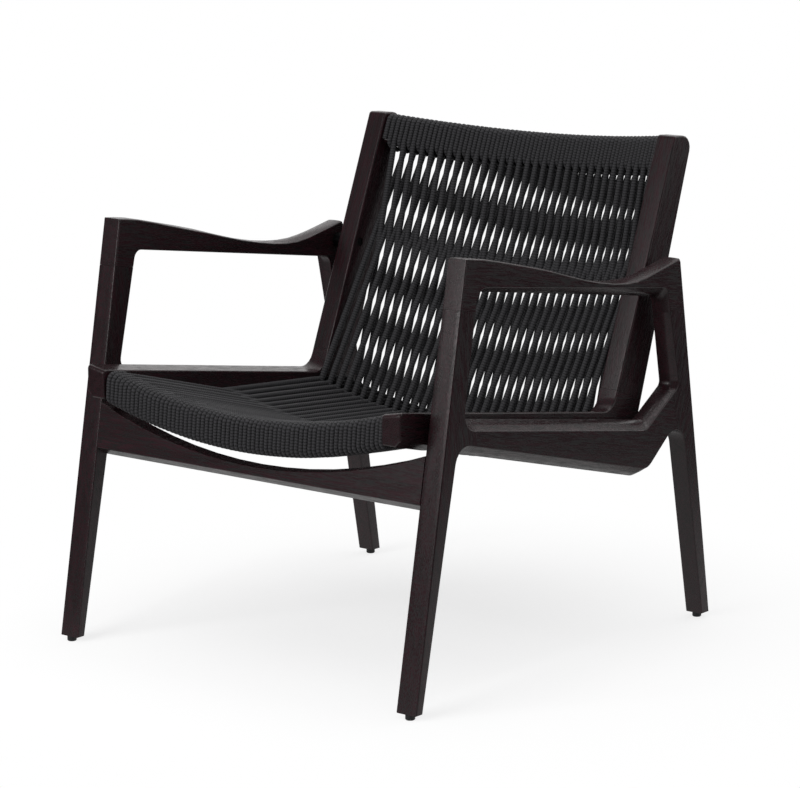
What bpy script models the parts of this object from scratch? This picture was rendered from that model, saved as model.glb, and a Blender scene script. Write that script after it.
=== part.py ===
"""A wooden lounge armchair with a seat and back of wound cord, as separate joined pieces.

Metres, +Z up. X runs across the chair, its front faces -Y, and the floor is z = 0.
Side views are drawn in (y, z): y = 0 stands just behind the front legs.
"""

import math

import bmesh
import bpy
from mathutils import Matrix, Vector

# ---- Overall sizes -------------------------------------------------------------------------
HALF_WIDTH = 0.3425  # middle of the chair to the outer face of a side frame
SEAT_HEIGHT = 0.4113  # top of a seat side rail at y = 0
SEAT_DEPTH = 0.4245  # y of the inner corner between seat rail and back post
BACK_RISE = 0.3897  # top of a back post above that corner
ARM_RISE = 0.2147  # front top of an armrest above SEAT_HEIGHT

# ---- Slopes --------------------------------------------------------------------------------
SEAT_FALL = 0.153  # the seat drops this much for each metre towards the back
BACK_RAKE = 0.392  # the front of a back post leans this much for each metre of height
POST_REAR_RAKE = 0.332

# ---- Side frames ---------------------------------------------------------------------------
SIDE_THICKNESS = 0.0323  # at the front of the arm
REAR_THINNING = 0.0025  # the frame loses this much towards the rear leg
FOOT_THICKENING = 0.003  # and gains this much towards the front foot
EASE = 0.0020  # radius of the eased edges
BEVEL_WIDTH = 0.0155  # how far in from the outer face the long bevels reach
BEVEL_DROP = 0.0120  # depth of the bevel under the lower side rail
ARM_CROWN = 0.0050
ARM_INNER_DROP = 0.0035
FOOT_DEPTH = 0.0143
FRONT_FOOT_Y = -0.0948  # front edge of the front foot
REAR_FOOT_DEPTH = 0.0195
REAR_FOOT_BACK = 0.1965  # rear edge of the rear foot behind the seat corner
RAIL_TOP_DROP = 0.0189  # the side frame's opening starts this far under the seat rail's top
RAIL_FRONT_DEPTH = 0.0397  # the lower side rail's bottom edge under SEAT_HEIGHT, at y = 0

# ---- Seat and back members -----------------------------------------------------------------
MEMBER_WIDTH = 0.0330  # width of a seat rail or back post across the chair
FRAME_GAP = 0.0132  # between the side frame and the seat and back members
MEMBER_FRONT_Y = -0.0720
MEMBER_DEPTH = 0.0540  # depth of a seat side rail behind its front end
MEMBER_TOP_TILT = 0.0050  # the rail's top falls this much towards the cord
MEMBER_EASE = 0.0025

# ---- Cross rails and cord ------------------------------------------------------------------
CORD = 0.0080  # cord diameter
CORE_CLEARANCE = 0.0003  # between a cord winding and its rail
RAIL_BOW = 0.0430  # sag or bow of the rear and top rails at the middle of the chair
FRONT_RAIL_BOW = 0.0400  # sag of the front rail's underside
CORE_RADIUS = 0.0055  # rounding of the wound rails' corners
FRONT_RAIL_HEIGHT = 0.0323  # at its ends
FRONT_RAIL_DEPTH = 0.0284
FRONT_RAIL_SWELL = 0.0030  # its top sags that much less than its underside
FRONT_RAIL_LEAN = 0.10
REAR_RAIL_HEIGHT = 0.0324
REAR_RAIL_DEPTH = 0.0584
TOP_RAIL_HEIGHT = 0.0404
TOP_RAIL_DEPTH = 0.0314
TOP_RAIL_RECESS = 0.0040  # of its windings behind the fronts of the posts
WEB_CLEARANCE = 0.0015  # between the back's cords and those of the rear rail
STRETCHER_DEPTH = 0.0240
STRETCHER_SAG = 0.0545  # depth of the hollow in the stretcher's top edge
STRETCHER_END_HEIGHT = 0.0780
STRETCHER_TOP_DROP = 0.0540  # its top ends under SEAT_HEIGHT
STRETCHER_BEVEL = 0.0140  # its underside rises this much towards the front

# ---- Joinery and fittings ------------------------------------------------------------------
SEAM = 0.0003  # gap between touching pieces
TENON_THICKNESS = 0.0120
TENON_LENGTH = 0.0200
GLIDE_RADIUS = 0.0070
GLIDE_HEIGHT = 0.0080
NAIL_RADIUS = 0.0012
NAIL_LENGTH = 0.0180
BOLT_RADIUS = 0.0040
BOLT_HEAD_RADIUS = 0.0065
BOLT_HEAD_HEIGHT = 0.0070
BOLT_BITE = 0.0200  # length of bolt in the side frame
SPACER_RADIUS = 0.0120

# ---- How finely curves are divided ---------------------------------------------------------
ARC_STEPS = 5
SPAN_STEPS = 14
ROUND_STEPS = 16

# ---- Places worked out from the sizes ------------------------------------------------------
REAR = SEAT_DEPTH
SEAT_CORNER = SEAT_HEIGHT - SEAT_FALL * SEAT_DEPTH
MEMBER_OUTER = HALF_WIDTH - SIDE_THICKNESS - FRAME_GAP
MEMBER_INNER = MEMBER_OUTER - MEMBER_WIDTH
ARM_TOP = SEAT_HEIGHT + ARM_RISE
BEVEL_X = HALF_WIDTH - BEVEL_WIDTH
TENON_X = HALF_WIDTH - SIDE_THICKNESS / 2
MEMBER_TENON_X = (MEMBER_OUTER + MEMBER_INNER) / 2


# ---- Plane geometry in (y, z) ----------------------------------------------------------------
def through(first, second):
    """The line through two points."""
    return Vector(first), Vector(second) - Vector(first)


def sloping(y, z, rise):
    """The line through (y, z) that climbs by rise for each metre towards the back."""
    return Vector((y, z)), Vector((1, rise))


def leaning(y, z, lean):
    """The line through (y, z) that leans back by lean for each metre of height."""
    return Vector((y, z)), Vector((lean, 1))


def meet(first, second):
    """Where two lines cross."""
    (p, d), (q, e) = first, second
    return p + d * ((q - p).cross(e) / d.cross(e))


def shifted(line, distance):
    """The line moved sideways, to the left of its direction."""
    point, direction = line
    side = Vector((-direction.y, direction.x)).normalized()
    return point + side * distance, direction


def at_height(line, z):
    point, direction = line
    return point + direction * ((z - point.y) / direction.y)


def rounded(corners, steps=ARC_STEPS):
    """A closed outline from (point, radius) corners. A radius of None keeps the bare point."""
    outline = []
    for index, (corner, radius) in enumerate(corners):
        corner = Vector(corner)
        if radius is None:
            outline.append(corner)
            continue
        before = (Vector(corners[index - 1][0]) - corner).normalized()
        after = (Vector(corners[(index + 1) % len(corners)][0]) - corner).normalized()
        half = before.angle(after) / 2
        centre = corner + (before + after).normalized() * (radius / math.sin(half))
        start = corner + before * (radius / math.tan(half)) - centre
        turn = start.angle_signed(corner + after * (radius / math.tan(half)) - centre)
        for step in range(steps + 1):
            outline.append(centre + Matrix.Rotation(-turn * step / steps, 2) @ start)
    return outline


def smooth(points, steps):
    """Points along a smooth curve through the given ones, ends included."""
    points = [Vector(p) for p in points]
    padded = [2 * points[0] - points[1], *points, 2 * points[-1] - points[-2]]
    curve = []
    for a, b, c, d in zip(padded, padded[1:], padded[2:], padded[3:]):
        for step in range(steps):
            t = step / steps
            curve.append(
                b
                + (c - a) * (t / 2)
                + (2 * a - 5 * b + 4 * c - d) * (t * t / 2)
                + (3 * b - a - 3 * c + d) * (t**3 / 2)
            )
    return [*curve, points[-1]]


def inset(outline, distance):
    """The closed outline moved inwards by distance, corner by corner."""
    area = sum(a.cross(b) for a, b in zip(outline, outline[1:] + outline[:1]))
    inward = distance if area > 0 else -distance
    moved = []
    for before, here, after in zip(outline[-1:] + outline[:-1], outline, outline[1:] + outline[:1]):
        ahead = (after - here).normalized()
        behind = (here - before).normalized()
        normal = Vector((-ahead.y - behind.y, ahead.x + behind.x)).normalized()
        lengthen = 1 / max(0.5, normal.dot(Vector((-ahead.y, ahead.x))))
        moved.append(here + normal * (inward * lengthen))
    return moved


def blend(first, second, share):
    return [a.lerp(b, share) for a, b in zip(first, second)]


def bow(x, half_span):
    """0 at the ends of a bowed rail and 1 at its middle."""
    return 1 - (x / half_span) ** 2


# ---- Blender objects -------------------------------------------------------------------------
def clear_scene():
    for obj in list(bpy.data.objects):
        bpy.data.objects.remove(obj)


def collection(name):
    made = bpy.data.collections.new(name)
    bpy.context.scene.collection.children.link(made)
    return made


def material(name, colour, roughness, metallic=0.0):
    made = bpy.data.materials.new(name)
    made.use_nodes = True
    shader = made.node_tree.nodes["Principled BSDF"]
    shader.inputs["Base Color"].default_value = (*colour, 1)
    shader.inputs["Roughness"].default_value = roughness
    shader.inputs["Metallic"].default_value = metallic
    made.diffuse_color = (*colour, 1)
    return made


def add_object(name, mesh, target, finish=None):
    obj = bpy.data.objects.new(name, mesh)
    target.objects.link(obj)
    if finish:
        mesh.materials.append(finish)
    if target is CUTTERS:
        obj.hide_render = True
        obj.display_type = "WIRE"
    return obj


def loft(name, sections, target, finish=None):
    """A closed solid through matched sections. A section is a list of closed loops of points."""
    bm = bmesh.new()
    rings = [[[bm.verts.new(p) for p in loop] for loop in section] for section in sections]
    for section, following in zip(rings, rings[1:]):
        for loop, other in zip(section, following):
            for i in range(len(loop)):
                j = (i + 1) % len(loop)
                bm.faces.new((loop[i], loop[j], other[j], other[i]))
    for section in (rings[0], rings[-1]):
        edges = [bm.edges.get((loop[i - 1], loop[i])) for loop in section for i in range(len(loop))]
        bmesh.ops.triangle_fill(bm, use_beauty=True, edges=edges)
    bmesh.ops.recalc_face_normals(bm, faces=bm.faces)
    mesh = bpy.data.meshes.new(name)
    bm.to_mesh(mesh)
    bm.free()
    mesh.shade_smooth()
    mesh.set_sharp_from_angle(angle=math.radians(30))
    return add_object(name, mesh, target, finish)


def prism(name, outline, low_x, high_x, target, finish=None):
    """The (y, z) outline stretched across the chair."""
    sections = [[[(x, y, z) for y, z in outline]] for x in (low_x, high_x)]
    return loft(name, sections, target, finish)


def block(name, centre, size, tilt):
    """A cutter box. tilt turns it about X, in radians."""
    mesh = bpy.data.meshes.new(name)
    bm = bmesh.new()
    bmesh.ops.create_cube(bm, size=1)
    bmesh.ops.scale(bm, vec=size, verts=bm.verts)
    bmesh.ops.rotate(bm, matrix=Matrix.Rotation(tilt, 3, "X"), verts=bm.verts)
    bmesh.ops.translate(bm, vec=centre, verts=bm.verts)
    bm.to_mesh(mesh)
    bm.free()
    return add_object(name, mesh, CUTTERS)


def turned(name, profile, place, target, finish=None, axis="Z"):
    """A solid turned from a (radius, height) profile that runs down its outer side."""
    mesh = bpy.data.meshes.new(name)
    bm = bmesh.new()
    verts = [bm.verts.new((radius, 0, height)) for radius, height in profile]
    for first, second in zip(verts, verts[1:]):
        bm.edges.new((first, second))
    if profile[0][0] > 0:
        bm.edges.new((verts[-1], verts[0]))
    bm.to_mesh(mesh)
    bm.free()
    obj = add_object(name, mesh, target, finish)
    screw = obj.modifiers.new("turn", "SCREW")
    screw.steps = screw.render_steps = ROUND_STEPS
    screw.use_merge_vertices = True
    screw.merge_threshold = 0.00005
    if axis == "X":
        obj.rotation_euler = (0, math.radians(90), 0)
    obj.location = place
    return obj


def change(obj, operation, cutter):
    modifier = obj.modifiers.new(f"{operation.lower()} {cutter.name}", "BOOLEAN")
    modifier.operation = operation
    modifier.object = cutter
    modifier.solver = "EXACT"


def settle(obj):
    """Replaces the object's mesh by what its modifiers make, in world space."""
    bpy.context.view_layer.update()
    graph = bpy.context.evaluated_depsgraph_get()
    mesh = bpy.data.meshes.new_from_object(obj.evaluated_get(graph))
    mesh.transform(obj.matrix_world)
    obj.modifiers.clear()
    obj.matrix_world = Matrix()
    obj.data = mesh
    mesh.name = obj.name
    return obj


def left_copy(obj, name):
    """The same piece for the left side of the chair."""
    mesh = obj.data.copy()
    mesh.transform(Matrix.Scale(-1, 4, (1, 0, 0)))
    mesh.flip_normals()
    mesh.name = name
    add_object(name, mesh, PARTS)


def centre_on_floor():
    """Moves every piece so that the chair stands in the middle of the floor."""
    pieces = [settle(piece) for piece in list(PARTS.objects)]
    reach = [vert.co.y for piece in pieces for vert in piece.data.vertices]
    for piece in pieces:
        piece.data.transform(Matrix.Translation((0, -(min(reach) + max(reach)) / 2, 0)))


# ---- Side frame ------------------------------------------------------------------------------
def inner_face_x(y, z):
    """The inner face closes in on the outer one towards the rear leg and opens at the front foot."""
    back = y / (REAR + REAR_FOOT_BACK)
    low = 1 - z / ARM_TOP
    return HALF_WIDTH - SIDE_THICKNESS + REAR_THINNING * back - FOOT_THICKENING * low * (1 - back)


LEG_FRONT = through((FRONT_FOOT_Y, GLIDE_HEIGHT), (0.016, ARM_TOP))
LEG_REAR = through((FRONT_FOOT_Y + FOOT_DEPTH, GLIDE_HEIGHT), (-0.007, SEAT_HEIGHT - 0.0663))
REAR_LEG_BACK = through((REAR + REAR_FOOT_BACK, GLIDE_HEIGHT), (REAR + 0.1065, ARM_TOP - 0.064))
REAR_LEG_FRONT = through(
    (REAR + REAR_FOOT_BACK - REAR_FOOT_DEPTH, GLIDE_HEIGHT),
    (REAR + 0.1352, SEAT_CORNER - 0.1203),
)
RAIL_BOTTOM = sloping(0, SEAT_HEIGHT - RAIL_FRONT_DEPTH, -0.2487)
GUSSET_BOTTOM = sloping(REAR + 0.0325, SEAT_CORNER - 0.0818, 0.80)
WINDOW_FRONT = leaning(0.0145, SEAT_HEIGHT + 0.0087, 0.172)
WINDOW_TOP = sloping(0.060, ARM_TOP - 0.045, -0.1256)
WINDOW_REAR = leaning(REAR + 0.0745, SEAT_HEIGHT + 0.1047, -0.2177)
WINDOW_GUSSET = sloping(REAR + 0.1015, SEAT_CORNER + 0.0256, 0.648)
WINDOW_BOTTOM = sloping(0, SEAT_HEIGHT - RAIL_TOP_DROP, -0.160)
INNER_WINDOW_FRONT = leaning(0.017, SEAT_HEIGHT + 0.0247, 0.2326)
INNER_WINDOW_TOP = sloping(0.080, ARM_TOP - 0.054, -0.142)
INNER_WINDOW_REAR = leaning(REAR + 0.076, SEAT_HEIGHT + 0.0807, -0.181)
INNER_WINDOW_GUSSET = shifted(WINDOW_GUSSET, 0.006)
INNER_WINDOW_BOTTOM = shifted(WINDOW_BOTTOM, 0.0122)

ARM_TOP_CURVE = smooth(
    (
        (0.0160, ARM_TOP),
        (0.0560, ARM_TOP - 0.0045),
        (0.1300, ARM_TOP - 0.0205),
        (0.2050, ARM_TOP - 0.0380),
        (REAR - 0.1345, ARM_TOP - 0.0615),
        (REAR - 0.0595, ARM_TOP - 0.0765),
        (REAR - 0.0045, ARM_TOP - 0.0798),
        (REAR + 0.0455, ARM_TOP - 0.0715),
        (REAR + 0.1035, ARM_TOP - 0.0595),
    ),
    2,
)


def frame_outline(drop, crown, fall):
    """The side frame's outer outline. drop deepens the rail; crown and fall shape the arm's top."""
    low_rail = shifted(RAIL_BOTTOM, -drop)
    top = []
    for point in ARM_TOP_CURVE:
        dip = math.exp(-(((point.x - REAR + 0.005) / 0.075) ** 2))
        front = math.exp(-(((point.x - 0.190) / 0.110) ** 2))
        height = point.y + crown * ARM_CROWN * dip - fall * ARM_INNER_DROP * front
        top.append(((point.x, height), None))
    return rounded(
        [
            *top,
            (at_height(REAR_LEG_BACK, ARM_TOP - 0.064), None),
            (at_height(REAR_LEG_BACK, GLIDE_HEIGHT), None),
            (at_height(REAR_LEG_FRONT, GLIDE_HEIGHT), None),
            (meet(REAR_LEG_FRONT, GUSSET_BOTTOM), 0.028),
            (meet(GUSSET_BOTTOM, low_rail), 0.030),
            (meet(low_rail, LEG_REAR), 0.026 - drop * 0.8),
            (at_height(LEG_REAR, GLIDE_HEIGHT), None),
            (at_height(LEG_FRONT, GLIDE_HEIGHT), None),
        ]
    )


def window_outline(share):
    """The arm's opening, from its outer rim (share 0) to its inner opening (share 1)."""
    rim = rounded(
        [
            (meet(WINDOW_BOTTOM, WINDOW_FRONT), 0.025),
            (meet(WINDOW_FRONT, WINDOW_TOP), 0.020),
            (meet(WINDOW_TOP, WINDOW_REAR), 0.013),
            (meet(WINDOW_REAR, WINDOW_GUSSET), 0.014),
            (meet(WINDOW_GUSSET, WINDOW_BOTTOM), 0.028),
        ]
    )
    opening = rounded(
        [
            (meet(INNER_WINDOW_BOTTOM, INNER_WINDOW_FRONT), 0.014),
            (meet(INNER_WINDOW_FRONT, INNER_WINDOW_TOP), 0.014),
            (meet(INNER_WINDOW_TOP, INNER_WINDOW_REAR), 0.016),
            (meet(INNER_WINDOW_REAR, INNER_WINDOW_GUSSET), 0.010),
            (meet(INNER_WINDOW_GUSSET, INNER_WINDOW_BOTTOM), 0.018),
        ]
    )
    return blend(rim, opening, share)


def side_frame_blank():
    """One whole side frame, before it is parted into its four members."""
    sections = []
    soft = 0.3 * EASE
    face = (frame_outline(0, 0, 0), window_outline(0))
    for ease, depth in ((EASE, 0), (soft, soft), (0, EASE)):
        loops = (inset(face[0], ease), inset(face[1], -ease))
        sections.append([[(HALF_WIDTH - depth, y, z) for y, z in loop] for loop in loops])
    for share in (0.5, 1.0):
        crown = 0.75 if share < 1 else 1
        loops = (frame_outline(BEVEL_DROP * share, crown, share / 2), window_outline(share))
        x = HALF_WIDTH - BEVEL_WIDTH * share
        sections.append([[(x, y, z) for y, z in loop] for loop in loops])
    inner_layers = (
        (0.5, 0.75, 0.75, 0),
        (EASE, 0, 1, 0),
        (soft, 0, 1, soft),
        (0, 0, 1, EASE),
    )
    for inward, crown, fall, ease in inner_layers:
        loops = (frame_outline(BEVEL_DROP, crown, fall), window_outline(1))
        loops = (inset(loops[0], ease), inset(loops[1], -ease))
        section = []
        for loop in loops:
            inner = [inner_face_x(y, z) for y, z in loop]
            if inward == 0.5:
                inner = [(x + BEVEL_X) / 2 for x in inner]
            else:
                inner = [x + inward for x in inner]
            section.append([(x, y, z) for x, (y, z) in zip(inner, loop)])
        sections.append(section)
    return loft("side_frame_blank", sections, CUTTERS)


# Each seam is a line across one member of the side frame, with the member's middle on it.
LEG_SEAM = sloping(0, ARM_TOP - 0.069, -0.15)
REAR_LEG_SEAM = sloping(REAR + 0.096, SEAT_HEIGHT + 0.080, 0.16)
FRONT_RAIL_SEAM = leaning(0.040, SEAT_HEIGHT - 0.036, 0.20)
REAR_RAIL_SEAM = leaning(REAR + 0.098, SEAT_CORNER - 0.0145, -0.256)
OPEN_MIDDLE = Vector((REAR / 2, SEAT_HEIGHT + 0.05))
UNDER_RAIL = Vector((REAR / 2, SEAT_HEIGHT / 3))
NOTCH = Vector((REAR + 0.100, SEAT_CORNER - 0.100))
FAR = 0.5


def seam_point(seam, distance, side):
    """The point that far along a seam, half a seam gap to its left (side 1) or right (side -1)."""
    point, direction = shifted(seam, side * SEAM / 2)
    return point + direction.normalized() * distance


def side_frame_regions():
    """The (y, z) region of each member of the side frame, in one plane."""
    return {
        "armrest": [
            seam_point(LEG_SEAM, -FAR, 1),
            seam_point(LEG_SEAM, 0.07, 1),
            OPEN_MIDDLE,
            seam_point(REAR_LEG_SEAM, -0.04, 1),
            seam_point(REAR_LEG_SEAM, FAR, 1),
            Vector((REAR + FAR, ARM_TOP + FAR)),
            Vector((-FAR, ARM_TOP + FAR)),
        ],
        "front_leg": [
            seam_point(LEG_SEAM, -FAR, -1),
            seam_point(LEG_SEAM, 0.07, -1),
            OPEN_MIDDLE,
            seam_point(FRONT_RAIL_SEAM, 0.05, 1),
            seam_point(FRONT_RAIL_SEAM, -0.05, 1),
            UNDER_RAIL,
            Vector((REAR / 2, -FAR)),
            Vector((-FAR, -FAR)),
        ],
        "lower_side_rail": [
            seam_point(FRONT_RAIL_SEAM, 0.05, -1),
            seam_point(FRONT_RAIL_SEAM, -0.05, -1),
            UNDER_RAIL,
            NOTCH,
            seam_point(REAR_RAIL_SEAM, -0.04, 1),
            seam_point(REAR_RAIL_SEAM, 0.045, 1),
            OPEN_MIDDLE,
        ],
        "rear_leg": [
            seam_point(REAR_LEG_SEAM, -0.04, -1),
            seam_point(REAR_LEG_SEAM, FAR, -1),
            Vector((REAR + FAR, -FAR)),
            Vector((REAR + 0.05, -FAR)),
            NOTCH,
            seam_point(REAR_RAIL_SEAM, -0.04, -1),
            seam_point(REAR_RAIL_SEAM, 0.045, -1),
            OPEN_MIDDLE,
        ],
    }


def cut_from(blank, name, region):
    """The part of a blank that lies in a (y, z) region."""
    piece = add_object(name, blank.data.copy(), PARTS, WOOD)
    change(piece, "INTERSECT", prism(f"{name}_region", region, 0.1, HALF_WIDTH + 0.1, CUTTERS))
    return piece


def tenon(male, female, seam, width, x, reach):
    """A tenon of male across the seam into a mortise in female. reach 1 goes to the seam's left."""
    middle, direction = seam
    tilt = math.atan2(direction.y, direction.x)
    side = Vector((-direction.y, direction.x)).normalized() * reach
    shoulder = TENON_LENGTH / 2
    centre = middle + side * (TENON_LENGTH - shoulder) / 2
    size = (TENON_THICKNESS, width, TENON_LENGTH + shoulder)
    change(male, "UNION", block(f"{male.name}_tenon", (x, *centre), size, tilt))
    grown = tuple(value + 2 * SEAM for value in size)
    change(female, "DIFFERENCE", block(f"{female.name}_mortise", (x, *centre), grown, tilt))


def side_frame_members():
    """The four joined members of the right side frame."""
    blank = side_frame_blank()
    members = {}
    for name, region in side_frame_regions().items():
        members[name] = cut_from(blank, f"{name}_right", region)
    joints = (
        ("front_leg", "armrest", LEG_SEAM, LEG_FRONT, WINDOW_FRONT, 0.018, 1),
        ("rear_leg", "armrest", REAR_LEG_SEAM, REAR_LEG_BACK, INNER_WINDOW_REAR, 0.022, 1),
        ("lower_side_rail", "front_leg", FRONT_RAIL_SEAM, WINDOW_BOTTOM, RAIL_BOTTOM, 0.020, 1),
        ("lower_side_rail", "rear_leg", REAR_RAIL_SEAM, WINDOW_GUSSET, GUSSET_BOTTOM, 0.026, -1),
    )
    for male, female, seam, first, second, width, reach in joints:
        middle = (meet(first, seam) + meet(second, seam)) / 2
        tenon(members[male], members[female], (middle, seam[1]), width, TENON_X, reach)
    return members


# ---- Seat rails and back posts ---------------------------------------------------------------
POST_FRONT = leaning(REAR, SEAT_CORNER, BACK_RAKE)
POST_REAR = leaning(REAR + 0.0655, SEAT_CORNER - 0.0173, POST_REAR_RAKE)
POST_TOP = sloping(REAR + 0.160, SEAT_CORNER + BACK_RISE + 0.0045, -0.06)
MEMBER_TOP = sloping(0, SEAT_HEIGHT, -SEAT_FALL)
MEMBER_BOTTOM = sloping(0, SEAT_HEIGHT - MEMBER_DEPTH, -SEAT_FALL)
MEMBER_NOSE = sloping(MEMBER_FRONT_Y, SEAT_HEIGHT - 0.0306, -0.242)
POST_SEAM_POINT = at_height(POST_FRONT, SEAT_CORNER + 0.030)
POST_SEAM = (POST_SEAM_POINT, Vector((1, -BACK_RAKE)))


def member_outline(tilt, drop):
    """A seat rail and back post in one. tilt lowers the rail's top and drop its nose's underside."""
    top = shifted(MEMBER_TOP, -tilt)
    nose = shifted(MEMBER_NOSE, -drop)
    front = leaning(MEMBER_FRONT_Y, 0, 0)
    return rounded(
        [
            (meet(front, top), 0.006),
            (meet(top, POST_FRONT), 0.027),
            (meet(POST_FRONT, POST_TOP), 0.006),
            (meet(POST_TOP, POST_REAR), 0.019),
            (meet(POST_REAR, MEMBER_BOTTOM), 0.014),
            (meet(MEMBER_BOTTOM, nose), 0.004),
            (meet(nose, front), 0.003),
        ]
    )


def seat_members():
    """The right seat rail, which turns up at the back, and the post that stands on it."""
    soft = 0.3 * MEMBER_EASE
    stations = (
        (MEMBER_OUTER, 0, 0, MEMBER_EASE),
        (MEMBER_OUTER - soft, 0, 0, soft),
        (MEMBER_OUTER - MEMBER_EASE, 0, 0, 0),
        (MEMBER_OUTER - 0.010, 0.3 * MEMBER_TOP_TILT, 0.007, 0),
        (MEMBER_INNER + MEMBER_EASE, MEMBER_TOP_TILT, 0.007, 0),
        (MEMBER_INNER + soft, MEMBER_TOP_TILT, 0.007, soft),
        (MEMBER_INNER, MEMBER_TOP_TILT, 0.007, MEMBER_EASE),
    )
    sections = []
    for x, tilt, drop, ease in stations:
        sections.append([[(x, y, z) for y, z in inset(member_outline(tilt, drop), ease)]])
    blank = loft("member_blank", sections, CUTTERS)
    below = [
        seam_point(POST_SEAM, -FAR, -1),
        seam_point(POST_SEAM, FAR, -1),
        Vector((REAR + FAR, -FAR)),
        Vector((-2 * FAR, -FAR)),
    ]
    above = [
        seam_point(POST_SEAM, -FAR, 1),
        seam_point(POST_SEAM, FAR, 1),
        Vector((REAR + 2 * FAR, 2 * FAR)),
        Vector((REAR, 3 * FAR)),
    ]
    rail = cut_from(blank, "seat_side_rail_right", below)
    post = cut_from(blank, "back_post_right", above)
    middle = (POST_SEAM_POINT + meet(POST_REAR, POST_SEAM)) / 2
    tenon(post, rail, (middle, POST_SEAM[1]), 0.030, MEMBER_TENON_X, -1)
    return rail, post


# ---- Wound rails -----------------------------------------------------------------------------
HALF_SPAN = MEMBER_INNER - SEAM
BACK_UP = Vector((BACK_RAKE, 1)).normalized()
BACK_REAR = Vector((BACK_UP.y, -BACK_UP.x))


class Rail:
    """A bowed rail of rounded rectangular section that cord is wound on."""

    def __init__(self, name, centre, up, height, depth, sag, swell=0):
        self.name = name
        self.centre = Vector(centre)
        self.up = Vector(up).normalized()
        self.rear = Vector((self.up.y, -self.up.x))
        self.height = height
        self.depth = depth
        self.sag = Vector(sag)
        self.swell = swell

    def middle(self, x):
        return self.centre + (self.sag + self.up * (self.swell / 2)) * bow(x, HALF_SPAN)

    def half_height(self, x):
        return (self.height + self.swell * bow(x, HALF_SPAN)) / 2

    def corner(self, x, up, rear):
        """Centre of the rounding of one corner; up and rear are 1 or -1."""
        tall = self.half_height(x) - CORE_RADIUS
        deep = self.depth / 2 - CORE_RADIUS
        return self.middle(x) + self.up * (up * tall) + self.rear * (rear * deep)

    def outline(self, x, grown):
        """The section at x, grown evenly all round."""
        tall = self.up * (self.half_height(x) + grown)
        deep = self.rear * (self.depth / 2 + grown)
        middle = self.middle(x)
        corners = (
            middle - deep + tall,
            middle + deep + tall,
            middle + deep - tall,
            middle - deep - tall,
        )
        return rounded([(corner, CORE_RADIUS + grown) for corner in corners], 3)


def wound_rails():
    """The front, rear and top rails as shapes, placed by their windings."""
    sleeve = CORE_CLEARANCE + CORD
    front = Rail(
        "front_seat_rail",
        (MEMBER_FRONT_Y + 0.0245, SEAT_HEIGHT - 0.0223),
        (FRONT_RAIL_LEAN, 1),
        FRONT_RAIL_HEIGHT,
        FRONT_RAIL_DEPTH,
        (0, -FRONT_RAIL_BOW),
        FRONT_RAIL_SWELL,
    )
    rear_y = REAR - 0.0245 + sleeve + REAR_RAIL_DEPTH / 2
    rear_z = SEAT_CORNER - 0.0083 - sleeve - REAR_RAIL_HEIGHT / 2
    rear = Rail(
        "rear_seat_rail",
        (rear_y, rear_z),
        (0, 1),
        REAR_RAIL_HEIGHT,
        REAR_RAIL_DEPTH,
        (0, -RAIL_BOW),
    )
    post_end = Vector((REAR, SEAT_CORNER)) + BACK_UP * (BACK_RISE + 0.0350)
    drop = sleeve + TOP_RAIL_HEIGHT / 2 - 0.0025
    back = TOP_RAIL_RECESS + sleeve + TOP_RAIL_DEPTH / 2
    top_middle = post_end - BACK_UP * drop + BACK_REAR * back
    top = Rail(
        "top_back_rail",
        top_middle,
        BACK_UP,
        TOP_RAIL_HEIGHT,
        TOP_RAIL_DEPTH,
        BACK_REAR * RAIL_BOW,
    )
    return front, rear, top


def span(steps=SPAN_STEPS):
    """Places across the chair from one end of a wound rail to the other."""
    return [HALF_SPAN * (2 * step / steps - 1) for step in range(steps + 1)]


def rail_piece(rail, member):
    """The rail in wood, with a tenon at each end in the member beside it."""
    sections = [[[(x, y, z) for y, z in rail.outline(x, 0)]] for x in span()]
    piece = loft(rail.name, sections, PARTS, WOOD)
    tilt = math.atan2(-rail.up.x, rail.up.y)
    wide = min(rail.depth, rail.height) * 0.45
    tall = rail.height * 0.62
    if rail.depth > rail.height:
        wide, tall = rail.depth * 0.55, rail.height * 0.45
    for side in (1, -1):
        start = HALF_SPAN - 0.010
        length = TENON_LENGTH + 0.010 + SEAM
        centre = rail.middle(HALF_SPAN)
        place = (side * (start + length / 2), *centre)
        change(piece, "UNION", block(f"{rail.name}_tenon", place, (length, wide, tall), tilt))
    grown = 2 * SEAM
    place = (MEMBER_INNER + TENON_LENGTH / 2, *rail.middle(HALF_SPAN))
    size = (TENON_LENGTH + grown + 0.0001, wide + grown, tall + grown)
    change(member, "DIFFERENCE", block(f"{rail.name}_mortise", place, size, tilt))
    return piece


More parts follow.
